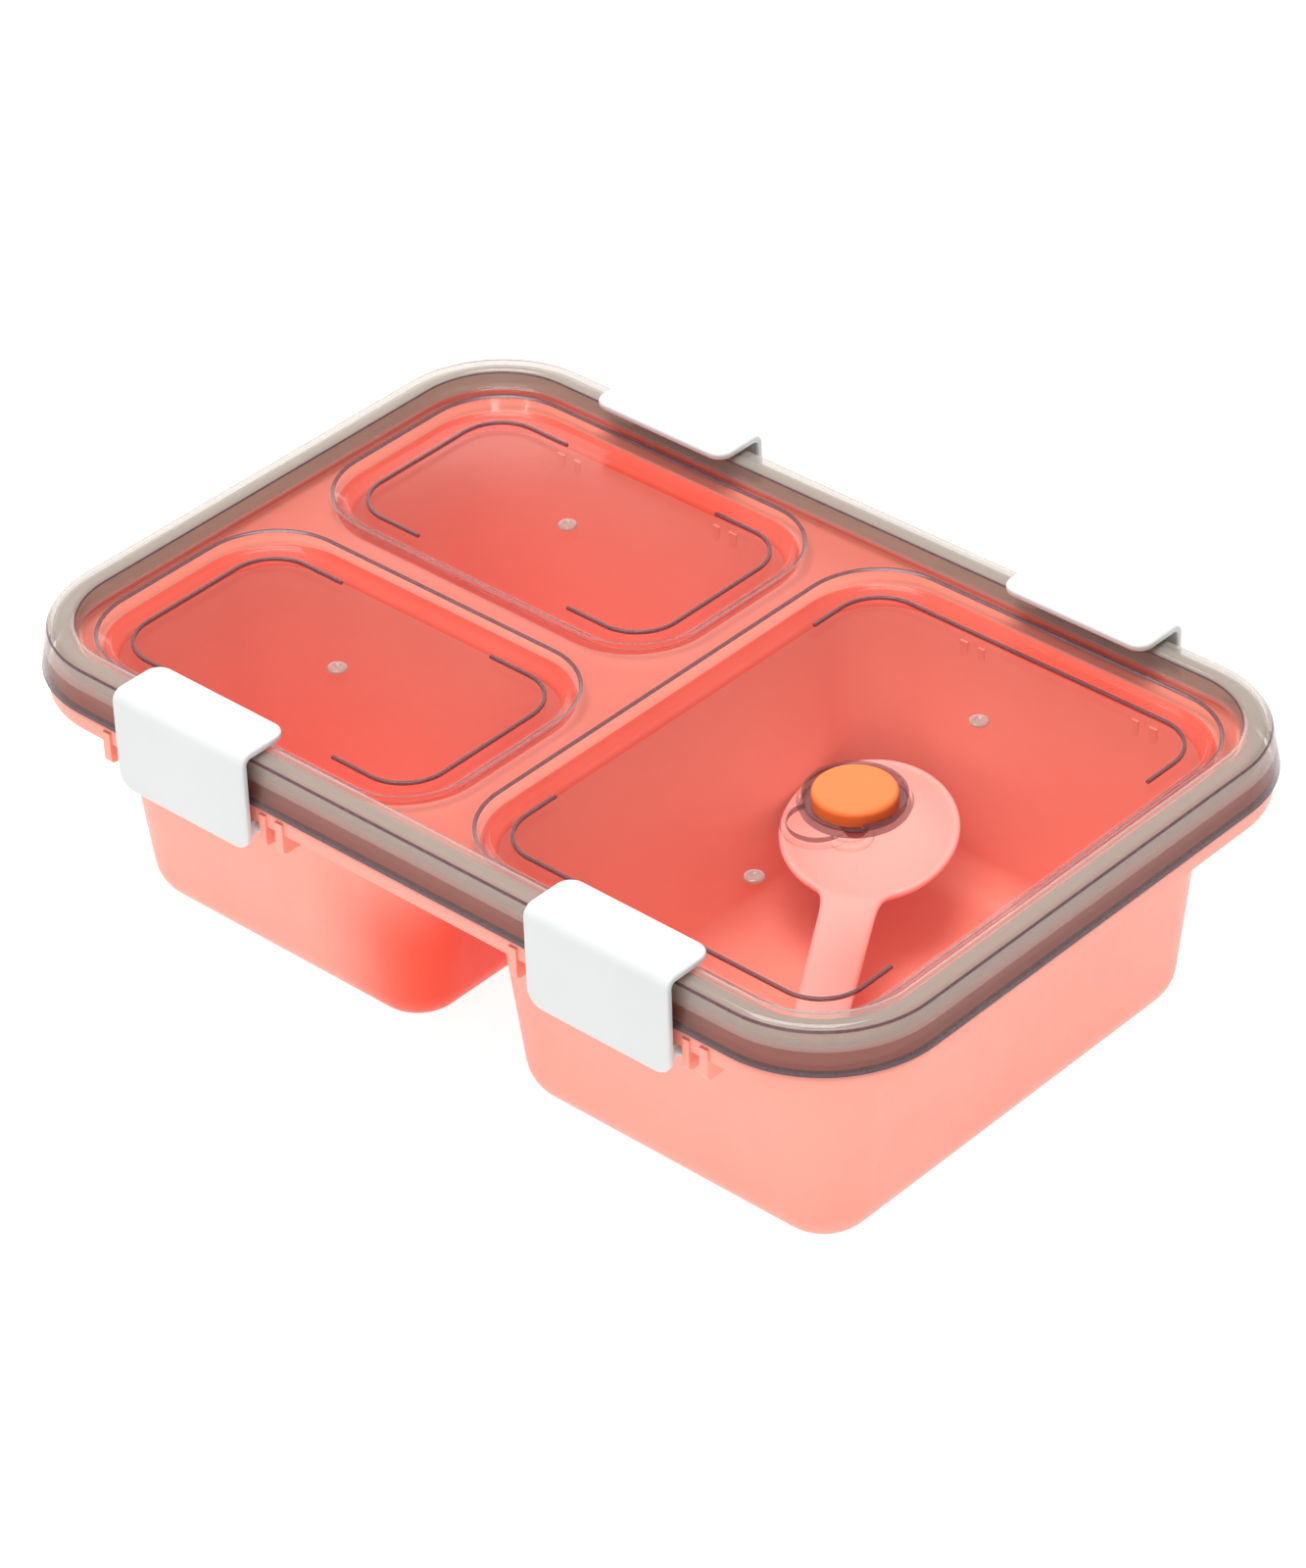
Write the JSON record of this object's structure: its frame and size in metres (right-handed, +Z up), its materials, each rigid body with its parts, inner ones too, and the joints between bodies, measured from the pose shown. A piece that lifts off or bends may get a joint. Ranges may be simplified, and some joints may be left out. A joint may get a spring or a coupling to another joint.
{
  "type": "lunch box",
  "caption": "Rectangular food box with separate wells, a clear sealed lid with a vent plug, hinged snap clips and a spoon inside.",
  "frame": {"origin": "middle of the footprint, on the surface the box stands on", "axes": "+X along the long side towards the single large well, +Y along the short side towards the rear, +Z up"},
  "size_m": [0.2336, 0.158, 0.0722],
  "materials": {
    "base_plastic": "satin moulded coral polypropylene",
    "lid_clear": "polished smoky clear plastic",
    "gasket_rubber": "soft grey silicone",
    "vent_rubber": "soft orange silicone",
    "spoon_plastic": "matt pale coral plastic",
    "clip_plastic": "satin white plastic"
  },
  "bodies": {
    "tray": {"base_tray": "base_plastic", "spoon": "spoon_plastic"},
    "lid": {"lid": "lid_clear", "lid_gasket": "gasket_rubber"},
    "vent": {"vent_plug": "vent_rubber"},
    "clip_front_left": {"clip_front_left": "clip_plastic"},
    "clip_front_right": {"clip_front_right": "clip_plastic"},
    "clip_rear_left": {"clip_rear_left": "clip_plastic"},
    "clip_rear_right": {"clip_rear_right": "clip_plastic"}
  },
  "joints": [
    {"name": "lid_lift", "type": "slide", "parent": "tray", "child": "lid", "axis": [0, 0, 1], "range_m": [0, 0.012]},
    {"name": "vent_pull", "type": "slide", "parent": "lid", "child": "vent", "axis": [0, 0, 1], "range_m": [0, 0.0035]},
    {"name": "clip_front_left_hinge", "type": "hinge", "parent": "tray", "child": "clip_front_left", "pos_m": [-0.057, -0.0736, 0.052], "axis": [1, 0, 0], "range_deg": [0, 166]},
    {"name": "clip_front_right_hinge", "type": "hinge", "parent": "tray", "child": "clip_front_right", "pos_m": [0.057, -0.0736, 0.052], "axis": [1, 0, 0], "range_deg": [0, 166]},
    {"name": "clip_rear_left_hinge", "type": "hinge", "parent": "tray", "child": "clip_rear_left", "pos_m": [-0.057, 0.0736, 0.052], "axis": [-1, 0, 0], "range_deg": [0, 166]},
    {"name": "clip_rear_right_hinge", "type": "hinge", "parent": "tray", "child": "clip_rear_right", "pos_m": [0.057, 0.0736, 0.052], "axis": [-1, 0, 0], "range_deg": [0, 166]}
  ],
  "couplings": [
    {"joint": "clip_front_left_hinge", "follows": "lid_lift", "rad_per_m": 240},
    {"joint": "clip_front_right_hinge", "follows": "lid_lift", "rad_per_m": 240},
    {"joint": "clip_rear_left_hinge", "follows": "lid_lift", "rad_per_m": 240},
    {"joint": "clip_rear_right_hinge", "follows": "lid_lift", "rad_per_m": 240}
  ]
}
